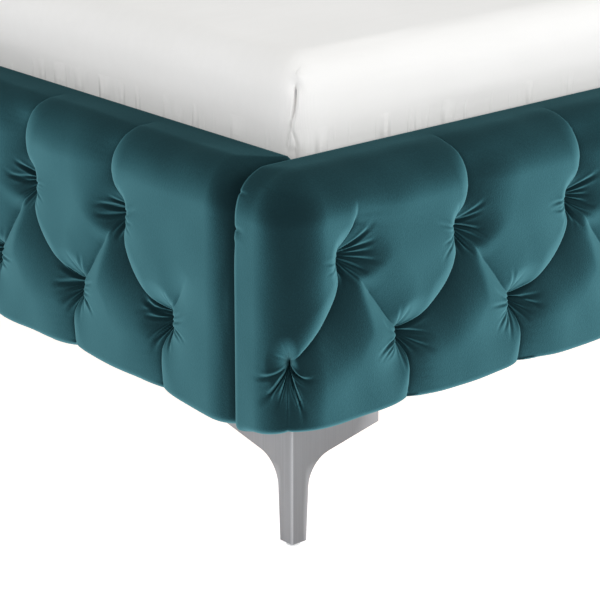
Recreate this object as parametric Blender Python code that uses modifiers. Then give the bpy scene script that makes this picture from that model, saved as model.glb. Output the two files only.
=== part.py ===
# Upholstered headboard bed, queen size: tufted rails and headboard, steel corner legs, slatted base,
# centre beam with adjustable feet, mattress and fitted sheet.
# Metres, +Z up. Origin on the floor under the middle of the bed. Foot at -Y, headboard at +Y.
from math import atan2, cos, hypot, pi, sin, tan

import bmesh
import bpy
from mathutils import Matrix, Vector

# Driving dimensions
MATTRESS_WIDTH = 1.524
MATTRESS_LENGTH = 2.032
MATTRESS_TOP = 0.5265
MATTRESS_THICKNESS = 0.248
MATTRESS_RADIUS = 0.028
SIDE_PLAY = 0.005
END_PLAY = 0.007

RAIL_THICKNESS = 0.088
RAIL_BOTTOM = 0.153
RAIL_TOP = 0.428
BOARD_THICKNESS = 0.030
BOARD_BOTTOM = 0.158
BOARD_TOP = 0.400
LINING = 0.003
PAD_RADIUS = 0.030
END_WRAP = 0.050

HEAD_THICKNESS = 0.115
HEAD_TOP = 1.228
HEAD_FRONT_PAD = 0.045
HEAD_SIDE_PAD = 0.045
HEAD_TOP_PAD = 0.032
PANEL_THICKNESS = 0.015
BACK_THICKNESS = 0.0045
POST_WIDTH = 0.065
BASE_RAIL_TOP = 0.400

LEG_INSET = 0.050
LEG_SHEET = 0.004
FLANGE_LENGTH = 0.125
FLANGE_END_HEIGHT = 0.036
FLANGE_SLOPE = 0.213
LEG_ANKLE = 0.0245
LEG_TOE = 0.0200
LEG_FILLET = 0.037
LEG_PLATE = 0.003
GLIDE_HEIGHT = 0.0042
GLIDE_RADIUS = 0.008
PEG_RADIUS = 0.002

SLAT_COUNT = 12
SLAT_WIDTH = 0.090
SLAT_THICKNESS = 0.018
LEDGER_WIDTH = 0.035
LEDGER_HEIGHT = 0.045
BEAM_WIDTH = 0.040
BEAM_HEIGHT = 0.065
HANGER_SHEET = 0.003
HANGER_DEPTH = 0.045
CENTRE_LEG_WIDTH = 0.045
CENTRE_LEG_PLACES = (-0.62, 0.0, 0.62)

BRACKET_SHEET = 0.003
BRACKET_ARM = 0.050
BRACKET_BOTTOM = 0.166
BRACKET_HEIGHT = 0.086
BOLT_RADIUS = 0.004
BOLT_LENGTH = 0.028
BOLT_HEAD_RADIUS = 0.0075
BOLT_HEAD_HEIGHT = 0.0053

FOOT_PAD_RADIUS = 0.019
FOOT_PAD_HEIGHT = 0.012
STEM_RADIUS = 0.004
STEM_LENGTH = 0.034
STEM_CLEARANCE = 0.0005

GAP = 0.0003
JOIN_GAP = 0.001
EDGE = 0.0015
OVERSHOOT = 0.02

# Sizes that follow from the ones above
WIDTH = MATTRESS_WIDTH + 2 * (SIDE_PLAY + RAIL_THICKNESS)
INNER_LENGTH = MATTRESS_LENGTH + 2 * END_PLAY
LENGTH = RAIL_THICKNESS + INNER_LENGTH + HEAD_THICKNESS
FOOT = -LENGTH / 2
FOOT_INNER = FOOT + RAIL_THICKNESS
HEAD_FRONT = FOOT_INNER + INNER_LENGTH
HEAD_BACK = LENGTH / 2
BOARD_OUTER = RAIL_THICKNESS - LINING - BOARD_THICKNESS
BOARD_INNER = RAIL_THICKNESS - LINING
SLAT_TOP = MATTRESS_TOP - MATTRESS_THICKNESS - GAP
SLAT_BOTTOM = SLAT_TOP - SLAT_THICKNESS
LEDGER_TOP = SLAT_BOTTOM - GAP
LEG_TOP = RAIL_BOTTOM - GAP
SOLE = GLIDE_HEIGHT + GAP
POST_FRONT = HEAD_FRONT + HEAD_FRONT_PAD + PANEL_THICKNESS + 2 * GAP
POST_BACK = HEAD_BACK - BACK_THICKNESS - GAP


def clearScene():
    for item in list(bpy.data.objects):
        bpy.data.objects.remove(item, do_unlink=True)


def newCollection(name):
    collection = bpy.data.collections.new(name)
    bpy.context.scene.collection.children.link(collection)
    return collection


def newMaterial(name, color, roughness, metallic=0.0):
    material = bpy.data.materials.new(name)
    material.use_nodes = True
    shader = material.node_tree.nodes["Principled BSDF"]
    shader.inputs["Base Color"].default_value = (*color, 1.0)
    shader.inputs["Roughness"].default_value = roughness
    shader.inputs["Metallic"].default_value = metallic
    material.diffuse_color = (*color, 1.0)
    return material


clearScene()
PARTS = newCollection("upholstered_bed")
CUTTERS = newCollection("cutters")
VELVET = newMaterial("velvet", (0.030, 0.105, 0.125), 0.75)
COTTON = newMaterial("cotton", (0.80, 0.79, 0.77), 0.85)
TICKING = newMaterial("ticking", (0.72, 0.71, 0.68), 0.85)
BRUSHED_STEEL = newMaterial("brushed_steel", (0.52, 0.51, 0.50), 0.35, 1.0)
BLACK_STEEL = newMaterial("black_steel", (0.03, 0.03, 0.03), 0.45, 0.6)
ZINC = newMaterial("zinc", (0.58, 0.58, 0.60), 0.40, 1.0)
PINE = newMaterial("pine", (0.60, 0.42, 0.24), 0.60)
PLYWOOD = newMaterial("plywood", (0.55, 0.40, 0.25), 0.65)
LINING_CLOTH = newMaterial("lining_cloth", (0.02, 0.02, 0.022), 0.90)
WHITE_PLASTIC = newMaterial("white_plastic", (0.75, 0.75, 0.74), 0.45)
BLACK_PLASTIC = newMaterial("black_plastic", (0.02, 0.02, 0.02), 0.50)


def newObject(name, mesh, material, collection=PARTS):
    item = bpy.data.objects.new(name, mesh)
    collection.objects.link(item)
    if material is not None:
        mesh.materials.clear()
        mesh.materials.append(material)
    if collection is CUTTERS:
        item.hide_render = True
        item.display_type = "WIRE"
    return item


# A box between two corners, with its object origin at its middle
def box(name, low, high, material=None, collection=PARTS, weight=None):
    low, high = Vector(low), Vector(high)
    size = high - low
    bm = bmesh.new()
    bmesh.ops.create_cube(bm, size=1.0, matrix=Matrix.Diagonal((*size, 1.0)))
    if weight is not None:
        layer = bm.edges.layers.float.new("bevel_weight_edge")
        for edge in bm.edges:
            ends = [vert.co for vert in edge.verts]
            middle = (ends[0] + ends[1]) / 2
            side = [round(2 * middle[axis] / size[axis]) for axis in range(3)]
            edge[layer] = weight(side)
    mesh = bpy.data.meshes.new(name)
    bm.to_mesh(mesh)
    bm.free()
    item = newObject(name, mesh, material, collection)
    item.location = (low + high) / 2
    return item


def bevel(item, width, segments=1, weighted=False):
    modifier = item.modifiers.new("edge", "BEVEL")
    modifier.width = width
    modifier.segments = segments
    modifier.limit_method = "WEIGHT" if weighted else "ANGLE"
    modifier.angle_limit = pi / 5
    return item


# A cylinder whose axis runs from start along a unit axis
def rod(name, start, axis, length, radius, material=None, collection=PARTS, sides=20):
    bm = bmesh.new()
    bmesh.ops.create_cone(bm, cap_ends=True, segments=sides, radius1=radius, radius2=radius, depth=length)
    mesh = bpy.data.meshes.new(name)
    bm.to_mesh(mesh)
    bm.free()
    item = newObject(name, mesh, material, collection)
    axis = Vector(axis)
    item.rotation_mode = "QUATERNION"
    item.rotation_quaternion = axis.to_track_quat("Z", "Y")
    item.location = Vector(start) + axis * (length / 2)
    return item


def combine(item, other, operation):
    modifier = item.modifiers.new(other.name, "BOOLEAN")
    modifier.operation = operation
    modifier.solver = "EXACT"
    modifier.object = other
    return item


def drill(item, start, axis, depth, radius):
    tool = rod(item.name + "_drill", start, axis, depth, radius, collection=CUTTERS)
    return combine(item, tool, "DIFFERENCE")


# The evaluated mesh of an object that served as a pattern, which is then removed with its helpers
def bake(item, helpers):
    bpy.context.view_layer.update()
    graph = bpy.context.evaluated_depsgraph_get()
    mesh = bpy.data.meshes.new_from_object(item.evaluated_get(graph))
    mesh.transform(item.matrix_world)
    for used in [item, *helpers]:
        bpy.data.objects.remove(used, do_unlink=True)
    return mesh


# A copy of a corner pattern, mirrored so that its arms point inward from the corner
def placeCorner(name, pattern, material, corner, side, end):
    mesh = pattern.copy()
    mesh.transform(Matrix.Diagonal((-side, -end, 1.0, 1.0)))
    if side * end < 0:
        mesh.flip_normals()
    item = newObject(name, mesh, material)
    item.location = corner
    return item


# The points of an arc that rounds the corner between two straight edges
def fillet(before, corner, after, radius, steps):
    before, corner, after = Vector(before), Vector(corner), Vector(after)
    one = (before - corner).normalized()
    two = (after - corner).normalized()
    half = one.angle(two) / 2
    centre = corner + (one + two).normalized() * (radius / sin(half))
    start = corner + one * (radius / tan(half))
    finish = corner + two * (radius / tan(half))
    first = atan2(start.y - centre.y, start.x - centre.x)
    last = atan2(finish.y - centre.y, finish.x - centre.x)
    turn = (last - first + pi) % (2 * pi) - pi
    angles = [first + turn * step / steps for step in range(steps + 1)]
    return [(centre.x + radius * cos(angle), centre.y + radius * sin(angle)) for angle in angles]


# A flat outline given as (across, up) points, extruded to a plate of the given thickness
def plate(name, outline, thickness, place):
    curve = bpy.data.curves.new(name, "CURVE")
    curve.dimensions = "2D"
    curve.fill_mode = "BOTH"
    curve.extrude = thickness / 2
    spline = curve.splines.new("POLY")
    spline.points.add(len(outline) - 1)
    for point, (across, up) in zip(spline.points, outline):
        point.co = (across, up, 0.0, 1.0)
    spline.use_cyclic_u = True
    source = bpy.data.objects.new(name + "_outline", curve)
    CUTTERS.objects.link(source)
    source.matrix_world = place
    mesh = bake(source, [])
    bm = bmesh.new()
    bm.from_mesh(mesh)
    bmesh.ops.remove_doubles(bm, verts=bm.verts, dist=0.00001)
    bmesh.ops.recalc_face_normals(bm, faces=bm.faces)
    bm.to_mesh(mesh)
    bm.free()
    return newObject(name, mesh, None, CUTTERS)


# What is cut away below and beyond a flange, leaving its tapered outline
def flangeCutaway():
    knee = LEG_TOP - FLANGE_END_HEIGHT - FLANGE_SLOPE * (FLANGE_LENGTH - LEG_ANKLE)
    toe = (LEG_TOE, SOLE)
    corner = (LEG_ANKLE, knee)
    tip = (FLANGE_LENGTH, LEG_TOP - FLANGE_END_HEIGHT)
    arc = fillet(toe, corner, tip, LEG_FILLET, 10)
    beyond = FLANGE_LENGTH + OVERSHOOT
    return [(LEG_TOE, SOLE - OVERSHOOT), toe, *arc, tip, (beyond, tip[1]), (beyond, SOLE - OVERSHOOT)]


# A corner leg: two tapered flanges at a right angle, a three-cornered top plate and a small sole
def legPattern():
    reach, sheet = FLANGE_LENGTH, LEG_SHEET
    plan = [(0, 0), (reach, 0), (reach, sheet), (sheet, sheet), (sheet, reach), (0, reach)]
    leg = plate("leg_column", plan, LEG_TOP - SOLE, Matrix.Translation((0, 0, (LEG_TOP + SOLE) / 2)))
    acrossX = Matrix(((1, 0, 0, 0), (0, 0, -1, 0), (0, 1, 0, 0), (0, 0, 0, 1)))
    acrossY = Matrix(((0, 0, 1, 0), (1, 0, 0, 0), (0, 1, 0, 0), (0, 0, 0, 1)))
    cuts = [plate("leg_cut", flangeCutaway(), 2 * OVERSHOOT, place) for place in (acrossX, acrossY)]
    triangle = [(EDGE, EDGE), (reach - EDGE, EDGE), (EDGE, reach - EDGE)]
    top = plate("leg_top", triangle, LEG_PLATE, Matrix.Translation((0, 0, LEG_TOP - LEG_PLATE)))
    inner = LEG_TOE - EDGE
    sole = box("leg_sole", (EDGE, EDGE, SOLE + GAP), (inner, inner, SOLE + sheet), collection=CUTTERS)
    middle = LEG_TOE / 2
    hole = rod("leg_hole", (middle, middle, 0), (0, 0, 1), 0.02, PEG_RADIUS + GAP, collection=CUTTERS)
    for cut in cuts:
        combine(leg, cut, "DIFFERENCE")
    combine(leg, top, "UNION")
    combine(leg, sole, "UNION")
    combine(leg, hole, "DIFFERENCE")
    bevel(leg, 0.0008, 2)
    return bake(leg, [*cuts, top, sole, hole])


# A turned solid from (radius, height) points that run down its outer side
def turned(name, profile, sides=24):
    mesh = bpy.data.meshes.new(name)
    points = [(radius, 0.0, height) for radius, height in profile]
    mesh.from_pydata(points, [(i, i + 1) for i in range(len(points) - 1)], [])
    item = newObject(name, mesh, None, CUTTERS)
    modifier = item.modifiers.new("turn", "SCREW")
    modifier.steps = sides
    modifier.render_steps = sides
    modifier.use_merge_vertices = True
    modifier.merge_threshold = 0.00001
    return bake(item, [])


def glidePattern():
    rim = 0.001
    profile = [(0, SOLE + 0.003), (PEG_RADIUS, SOLE + 0.003), (PEG_RADIUS, GLIDE_HEIGHT),
               (GLIDE_RADIUS, GLIDE_HEIGHT), (GLIDE_RADIUS, rim), (GLIDE_RADIUS - rim, 0), (0, 0)]
    return turned("glide", profile)


def bracketPattern():
    low, high = BRACKET_BOTTOM, BRACKET_BOTTOM + BRACKET_HEIGHT
    item = box("bracket", (0, 0, low), (BRACKET_ARM, BRACKET_SHEET, high), collection=CUTTERS)
    other = box("bracket_arm", (0, 0, low), (BRACKET_SHEET, BRACKET_ARM, high), collection=CUTTERS)
    combine(item, other, "UNION")
    tools = []
    for axis, start in (((0, 1, 0), boltPlace(0)), ((1, 0, 0), boltPlace(1))):
        point = Vector(start) - Vector(axis) * OVERSHOOT
        tools.append(rod("hole", point, axis, 2 * OVERSHOOT, BOLT_RADIUS + GAP, collection=CUTTERS))
        combine(item, tools[-1], "DIFFERENCE")
    return bake(item, [other, *tools])


# Where a bolt passes an arm of the corner bracket: arm 0 lies along X, arm 1 along Y
def boltPlace(arm):
    middle = BRACKET_BOTTOM + BRACKET_HEIGHT / 2
    along = BRACKET_ARM * 0.62
    return (along, 0.0, middle) if arm == 0 else (0.0, along, middle)


def boltPattern():
    item = rod("bolt", (0, 0, GAP), (0, 0, 1), BOLT_HEAD_HEIGHT, BOLT_HEAD_RADIUS, collection=CUTTERS, sides=6)
    reach = BOLT_LENGTH + 0.001
    shank = rod("bolt_shank", (0, 0, 0.001), (0, 0, -1), reach, BOLT_RADIUS, collection=CUTTERS, sides=16)
    combine(item, shank, "UNION")
    return bake(item, [shank])


# The velvet pad of a rail: a soft bar with a slot that its board fills from inside and below
def railPad(name, low, high, slotLow, slotHigh, roundEdge):
    pad = box(name, low, high, VELVET, weight=roundEdge)
    bevel(pad, PAD_RADIUS, 5, weighted=True)
    slot = box(name + "_slot", slotLow, slotHigh, collection=CUTTERS)
    return combine(pad, slot, "DIFFERENCE")


def footRail():
    half = WIDTH / 2
    boardHalf = half - END_WRAP
    board = box("foot_rail_board", (-boardHalf, FOOT + BOARD_OUTER, BOARD_BOTTOM),
                (boardHalf, FOOT + BOARD_INNER, BOARD_TOP), PINE)
    bevel(board, EDGE)

    # Every edge is round but those of the inner face, which the side rails meet
    def roundEdge(side):
        return 0.25 if side[1] > 0 else (0.6 if side[2] < 0 else 1.0)

    railPad("foot_rail_pad", (-half, FOOT, RAIL_BOTTOM), (half, FOOT_INNER, RAIL_TOP),
            (-boardHalf - GAP, FOOT + BOARD_OUTER - GAP, RAIL_BOTTOM - OVERSHOOT),
            (boardHalf + GAP, FOOT_INNER + OVERSHOOT, BOARD_TOP + GAP), roundEdge)
    return board


def sideRail(side, word):
    start, finish = FOOT_INNER + JOIN_GAP, HEAD_FRONT - JOIN_GAP
    outer, inner = WIDTH / 2 - BOARD_OUTER, WIDTH / 2 - BOARD_INNER
    near, far = sorted((side * inner, side * outer))
    board = box("side_rail_board_" + word, (near, start, BOARD_BOTTOM), (far, finish, BOARD_TOP), PINE)
    bevel(board, EDGE)

    # Long edges are round, and the ends are cut square where they butt
    def roundEdge(place):
        if place[1] != 0:
            return 0.0
        if place[0] != side:
            return 0.25
        return 0.6 if place[2] < 0 else 1.0

    low, high = sorted((side * (WIDTH / 2 - RAIL_THICKNESS), side * WIDTH / 2))
    slotNear, slotFar = sorted((side * (WIDTH / 2 - RAIL_THICKNESS - OVERSHOOT), side * (outer + GAP)))
    railPad("side_rail_pad_" + word, (low, start, RAIL_BOTTOM), (high, finish, RAIL_TOP),
            (slotNear, start - OVERSHOOT, RAIL_BOTTOM - OVERSHOOT),
            (slotFar, finish + OVERSHOOT, BOARD_TOP + GAP), roundEdge)
    return board


def headboardFrame():
    half = WIDTH / 2 - HEAD_SIDE_PAD - GAP
    panelFront = HEAD_FRONT + HEAD_FRONT_PAD + GAP
    panelTop = HEAD_TOP - HEAD_TOP_PAD - GAP
    base = box("headboard_base_rail", (-half, HEAD_FRONT, BOARD_BOTTOM),
               (half, panelFront + PANEL_THICKNESS, BASE_RAIL_TOP), PINE)
    bevel(base, EDGE)
    panel = box("headboard_panel", (-half, panelFront, BASE_RAIL_TOP + GAP),
                (half, panelFront + PANEL_THICKNESS, panelTop), PLYWOOD)
    bevel(panel, EDGE)
    postOuter = half - 0.03
    postTop = panelTop - 0.015
    for side, word in ((-1, "left"), (1, "right")):
        near, far = sorted((side * (postOuter - POST_WIDTH), side * postOuter))
        post = box("headboard_post_" + word, (near, POST_FRONT, BOARD_BOTTOM), (far, POST_BACK, postTop), PINE)
        bevel(post, EDGE)
    reach = postOuter - POST_WIDTH - GAP
    top = box("headboard_top_rail", (-reach, POST_FRONT, postTop - POST_WIDTH), (reach, POST_BACK, postTop), PINE)
    bevel(top, EDGE)
    back = box("headboard_back_cover", (-half, HEAD_BACK - BACK_THICKNESS, BOARD_BOTTOM),
               (half, HEAD_BACK, panelTop), LINING_CLOTH)
    bevel(back, EDGE * 0.5)
    return base


# The pad wraps the front above the base rail, the top and both ends, and is open at the back
def headboardPad():
    half = WIDTH / 2

    def roundEdge(side):
        return 0.25 if side[1] > 0 or side[2] < 0 else 1.0

    pad = box("headboard_pad", (-half, HEAD_FRONT, RAIL_BOTTOM), (half, HEAD_BACK, HEAD_TOP), VELVET,
              weight=roundEdge)
    bevel(pad, PAD_RADIUS, 5, weighted=True)
    inner = half - HEAD_SIDE_PAD
    bottom = RAIL_BOTTOM - OVERSHOOT
    hollow = box("headboard_hollow", (-inner, HEAD_FRONT + HEAD_FRONT_PAD, bottom),
                 (inner, HEAD_BACK + OVERSHOOT, HEAD_TOP - HEAD_TOP_PAD), collection=CUTTERS)
    front = box("headboard_base_gap", (-inner, HEAD_FRONT - OVERSHOOT, bottom),
                (inner, HEAD_FRONT + HEAD_FRONT_PAD + OVERSHOOT, BASE_RAIL_TOP + GAP), collection=CUTTERS)
    combine(pad, hollow, "DIFFERENCE")
    return combine(pad, front, "DIFFERENCE")


def slattedBase():
    inner = WIDTH / 2 - BOARD_INNER - GAP
    start = FOOT_INNER + BRACKET_ARM + 0.01
    finish = HEAD_FRONT - BRACKET_ARM - 0.01
    for side, word in ((-1, "left"), (1, "right")):
        near, far = sorted((side * inner, side * (inner - LEDGER_WIDTH)))
        ledger = box("slat_ledger_" + word, (near, start, LEDGER_TOP - LEDGER_HEIGHT), (far, finish, LEDGER_TOP), PINE)
        bevel(ledger, EDGE)
    reach = inner - 0.004
    spacing = (finish - start - SLAT_WIDTH) / (SLAT_COUNT - 1)
    for number in range(SLAT_COUNT):
        low = start + number * spacing
        slat = box(f"slat_{number + 1:02d}", (-reach, low, SLAT_BOTTOM), (reach, low + SLAT_WIDTH, SLAT_TOP), PINE)
        bevel(slat, 0.003)


def centreBeam():
    half = BEAM_WIDTH / 2
    bottom = LEDGER_TOP - BEAM_HEIGHT
    start = FOOT + BOARD_INNER + GAP
    beam = box("centre_beam", (-half, start + HANGER_SHEET + GAP, bottom),
               (half, HEAD_FRONT - HANGER_SHEET - 2 * GAP, LEDGER_TOP), PINE)
    bevel(beam, EDGE)
    for facing, wall, word in ((1, start, "foot"), (-1, HEAD_FRONT - GAP, "head")):
        beamHanger("beam_hanger_" + word, facing, wall, bottom)


# A steel hanger that cups the beam's end: a back, a floor and two cheeks, open on top and in front
def beamHanger(name, facing, wall, bottom):
    half = BEAM_WIDTH / 2 + GAP
    outer = half + HANGER_SHEET
    near, far = sorted((wall, wall + facing * HANGER_DEPTH))
    top = bottom + 0.045
    item = box(name, (-outer, near, bottom - GAP - HANGER_SHEET), (outer, far, top), BLACK_STEEL)
    cutNear, cutFar = sorted((wall + facing * HANGER_SHEET, wall + facing * (HANGER_DEPTH + OVERSHOOT)))
    cup = box(name + "_cup", (-half, cutNear, bottom - GAP), (half, cutFar, top + OVERSHOOT), collection=CUTTERS)
    return combine(item, cup, "DIFFERENCE")


# A centre leg with a bore for the threaded stem, and the foot that screws in and out of it
def centreLegs():
    half = CENTRE_LEG_WIDTH / 2
    top = LEDGER_TOP - BEAM_HEIGHT - GAP
    bottom = FOOT_PAD_HEIGHT + GAP
    stemTop = FOOT_PAD_HEIGHT + STEM_LENGTH
    rim = 0.002
    profile = [(0, stemTop), (STEM_RADIUS - 0.001, stemTop), (STEM_RADIUS, stemTop - 0.001),
               (STEM_RADIUS, FOOT_PAD_HEIGHT), (FOOT_PAD_RADIUS - rim, FOOT_PAD_HEIGHT),
               (FOOT_PAD_RADIUS, FOOT_PAD_HEIGHT - rim), (FOOT_PAD_RADIUS, rim), (FOOT_PAD_RADIUS - rim, 0), (0, 0)]
    pattern = turned("levelling_foot", profile)
    for number, place in enumerate(CENTRE_LEG_PLACES, start=1):
        leg = box(f"centre_leg_{number}", (-half, place - half, bottom), (half, place + half, top), PINE)
        bevel(leg, EDGE)
        drill(leg, (0, place, 0), (0, 0, 1), stemTop + 0.004, STEM_RADIUS + STEM_CLEARANCE)
        foot = newObject(f"levelling_foot_{number}", pattern.copy(), BLACK_PLASTIC)
        foot.location = (0, place, 0)


def cornerLegs():
    leg, glide = legPattern(), glidePattern()
    for side, sideWord in ((-1, "left"), (1, "right")):
        for end, endWord in ((-1, "foot"), (1, "head")):
            name = endWord + "_" + sideWord
            x = side * (WIDTH / 2 - LEG_INSET)
            y = end * (LENGTH / 2 - LEG_INSET)
            placeCorner("leg_" + name, leg, BRUSHED_STEEL, (x, y, 0), side, end)
            middle = LEG_TOE / 2
            item = newObject("glide_" + name, glide.copy(), WHITE_PLASTIC)
            item.location = (x - side * middle, y - end * middle, 0)


# Angle brackets inside the four corners, each with one bolt into each of the boards it joins
def cornerBrackets(boards):
    bracket, bolt = bracketPattern(), boltPattern()
    inner = WIDTH / 2 - BOARD_INNER - GAP
    for side, sideWord in ((-1, "left"), (1, "right")):
        for end, endWord in ((-1, "foot"), (1, "head")):
            wall = FOOT + BOARD_INNER + GAP if end < 0 else HEAD_FRONT - GAP
            corner = Vector((side * inner, wall, 0))
            name = endWord + "_" + sideWord
            placeCorner("corner_bracket_" + name, bracket, BLACK_STEEL, corner, side, end)
            for arm, board in ((0, boards[endWord]), (1, boards[sideWord])):
                local = boltPlace(arm)
                inward = Vector((0, -end, 0)) if arm == 0 else Vector((-side, 0, 0))
                face = corner + Vector((-side * local[0], -end * local[1], local[2])) + inward * BRACKET_SHEET
                item = newObject(f"bolt_{name}_{arm + 1}", bolt.copy(), ZINC)
                item.rotation_mode = "QUATERNION"
                item.rotation_quaternion = inward.to_track_quat("Z", "Y")
                item.location = face
                drill(board, face, -inward, BOLT_LENGTH + 0.001, BOLT_RADIUS + GAP)


def mattressAndSheet():
    halfX, halfY = MATTRESS_WIDTH / 2, MATTRESS_LENGTH / 2
    middle = (FOOT_INNER + HEAD_FRONT) / 2
    bottom = MATTRESS_TOP - MATTRESS_THICKNESS
    mattress = box("mattress", (-halfX, middle - halfY, bottom), (halfX, middle + halfY, MATTRESS_TOP), TICKING)
    bevel(mattress, MATTRESS_RADIUS, 4)
    cloth = 0.0015
    hem = bottom + 0.03
    inside = GAP
    outside = GAP + cloth
    sheet = box("fitted_sheet", (-halfX - outside, middle - halfY - outside, hem - MATTRESS_RADIUS),
                (halfX + outside, middle + halfY + outside, MATTRESS_TOP + outside), COTTON)
    bevel(sheet, MATTRESS_RADIUS + outside, 4)
    form = box("sheet_form", (-halfX - inside, middle - halfY - inside, hem - 3 * MATTRESS_RADIUS),
               (halfX + inside, middle + halfY + inside, MATTRESS_TOP + inside), collection=CUTTERS)
    bevel(form, MATTRESS_RADIUS + inside, 4)
    trim = box("sheet_trim", (-WIDTH, -LENGTH, 0), (WIDTH, LENGTH, hem), collection=CUTTERS)
    combine(sheet, form, "DIFFERENCE")
    combine(sheet, trim, "DIFFERENCE")


def main():
    boards = {"foot": footRail()}
    boards["left"] = sideRail(-1, "left")
    boards["right"] = sideRail(1, "right")
    boards["head"] = headboardFrame()
    headboardPad()
    slattedBase()
    centreBeam()
    centreLegs()
    cornerLegs()
    cornerBrackets(boards)
    mattressAndSheet()


main()
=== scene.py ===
from math import cos, pi, radians, sin

import bmesh
import bpy
import numpy as np
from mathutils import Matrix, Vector


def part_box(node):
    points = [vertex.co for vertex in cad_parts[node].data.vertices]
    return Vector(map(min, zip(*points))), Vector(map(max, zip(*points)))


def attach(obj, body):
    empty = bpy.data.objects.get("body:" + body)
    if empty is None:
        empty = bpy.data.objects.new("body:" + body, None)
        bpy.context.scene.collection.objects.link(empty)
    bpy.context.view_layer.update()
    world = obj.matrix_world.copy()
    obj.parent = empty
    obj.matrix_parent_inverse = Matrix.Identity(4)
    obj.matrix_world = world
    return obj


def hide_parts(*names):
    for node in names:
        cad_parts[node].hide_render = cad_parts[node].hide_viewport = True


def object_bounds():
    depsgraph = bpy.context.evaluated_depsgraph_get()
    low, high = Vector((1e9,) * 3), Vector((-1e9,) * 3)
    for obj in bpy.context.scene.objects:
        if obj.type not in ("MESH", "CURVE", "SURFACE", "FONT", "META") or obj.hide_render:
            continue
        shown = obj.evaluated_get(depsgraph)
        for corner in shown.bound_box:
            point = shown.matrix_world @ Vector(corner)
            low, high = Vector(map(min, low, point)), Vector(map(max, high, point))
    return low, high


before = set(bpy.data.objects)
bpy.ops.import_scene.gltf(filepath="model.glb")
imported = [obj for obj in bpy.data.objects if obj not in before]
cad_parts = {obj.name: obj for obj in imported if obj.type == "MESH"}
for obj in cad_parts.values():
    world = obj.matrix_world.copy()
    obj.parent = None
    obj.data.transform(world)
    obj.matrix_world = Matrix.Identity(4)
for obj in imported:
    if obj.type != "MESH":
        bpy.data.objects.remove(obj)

cadLow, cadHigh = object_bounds()
scene = bpy.context.scene

touching = 0.00005  # how near two places count as the same
merging = 0.00001
tiny = 1e-9


# A soft step from 0 at low to 1 at high
def smooth(low, high, value):
    part = np.clip((value - low) / (high - low), 0.0, 1.0)
    return part * part * (3.0 - 2.0 * part)


# A soft hill that is 1 in its middle
def bump(value, width):
    return np.exp(-(value / width) ** 2)


def coordinates(mesh):
    flat = np.empty(len(mesh.vertices) * 3)
    mesh.vertices.foreach_get("co", flat)
    return flat.reshape(-1, 3)


def setCoordinates(mesh, points):
    mesh.vertices.foreach_set("co", np.ascontiguousarray(points, dtype=np.float32).ravel())
    mesh.update()


def corners(name):
    return [np.array(corner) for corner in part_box(name)]


def toMesh(bm, name):
    mesh = bpy.data.meshes.new(name)
    bm.to_mesh(mesh)
    bm.free()
    return mesh


def newPiece(name, mesh, material, body, replaced=()):
    piece = bpy.data.objects.new(name, mesh)
    scene.collection.objects.link(piece)
    mesh.materials.clear()
    mesh.materials.append(material)
    mesh.shade_smooth()
    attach(piece, body)
    if replaced:
        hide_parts(*replaced)
    return piece


def addBlock(bm, size, place):
    made = bmesh.ops.create_cube(bm, size=1.0)["verts"]
    bmesh.ops.scale(bm, vec=size, verts=made)
    bmesh.ops.translate(bm, vec=place, verts=made)


# Cuts every edge between the given points once more
def refine(bm, close):
    edges = {edge for vert in close for edge in vert.link_edges if edge.other_vert(vert) in close}
    bmesh.ops.subdivide_edges(bm, edges=list(edges), cuts=1, use_grid_fill=True)


# A closed solid made of box cells between the given lines, without the left-out cells.
# Faces that shown picks are cut into a fine grid, and the hidden ones stay coarse.
def cellSolid(lines, leftOut, spacing, shown=lambda face: True):
    bm = bmesh.new()
    cells = [(i, j, k) for i in range(len(lines[0]) - 1) for j in range(len(lines[1]) - 1)
             for k in range(len(lines[2]) - 1) if (i, j, k) not in leftOut]
    for cell in cells:
        low = Vector([lines[axis][cell[axis]] for axis in range(3)])
        high = Vector([lines[axis][cell[axis] + 1] for axis in range(3)])
        addBlock(bm, high - low, (low + high) / 2)
    walls = {}
    for face in bm.faces:
        center = face.calc_center_median()
        walls.setdefault(tuple(round(value, 5) for value in center), []).append(face)
    inside = [face for group in walls.values() if len(group) > 1 for face in group]
    bmesh.ops.delete(bm, geom=inside, context="FACES_ONLY")
    bmesh.ops.delete(bm, geom=[edge for edge in bm.edges if not edge.link_faces], context="EDGES")
    bmesh.ops.remove_doubles(bm, verts=bm.verts, dist=merging)
    for axis in range(3):
        for start, end in zip(lines[axis], lines[axis][1:]):
            cuts = max(0, round((end - start) / spacing[axis]) - 1)
            spans = [edge for edge in bm.edges
                     if abs(abs(edge.verts[0].co[axis] - edge.verts[1].co[axis]) - (end - start)) < merging
                     and abs(min(edge.verts[0].co[axis], edge.verts[1].co[axis]) - start) < merging
                     and (edge.verts[0].co - edge.verts[1].co).length < end - start + merging
                     and any(shown(face) for face in edge.link_faces)]
            if cuts:
                bmesh.ops.subdivide_edges(bm, edges=spans, cuts=cuts, use_grid_fill=True)
    bmesh.ops.recalc_face_normals(bm, faces=bm.faces)
    return bm


# Soft unevenness of a stuffing or a cloth
def ripple(u, v, seed, size, amount):
    rng = np.random.default_rng(seed)
    height = np.zeros_like(u)
    for _ in range(7):
        turn, phase = rng.uniform(0, 2 * pi, 2)
        wave = rng.uniform(0.7, 1.6) / size
        height += np.sin(2 * pi * wave * (u * cos(turn) + v * sin(turn)) + phase)
    return amount * height / 3.0


# Rounds the surface of a box. radii gives each point its own radius along each axis.
def roundBox(points, low, high, radii):
    inner = np.clip(points, low + radii, np.maximum(high - radii, low + radii))
    away = (points - inner) / radii
    unit = away / np.maximum(np.linalg.norm(away, axis=1, keepdims=True), tiny)
    normal = unit / radii
    normal /= np.maximum(np.linalg.norm(normal, axis=1, keepdims=True), tiny)
    return inner + unit * radii, normal


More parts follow.
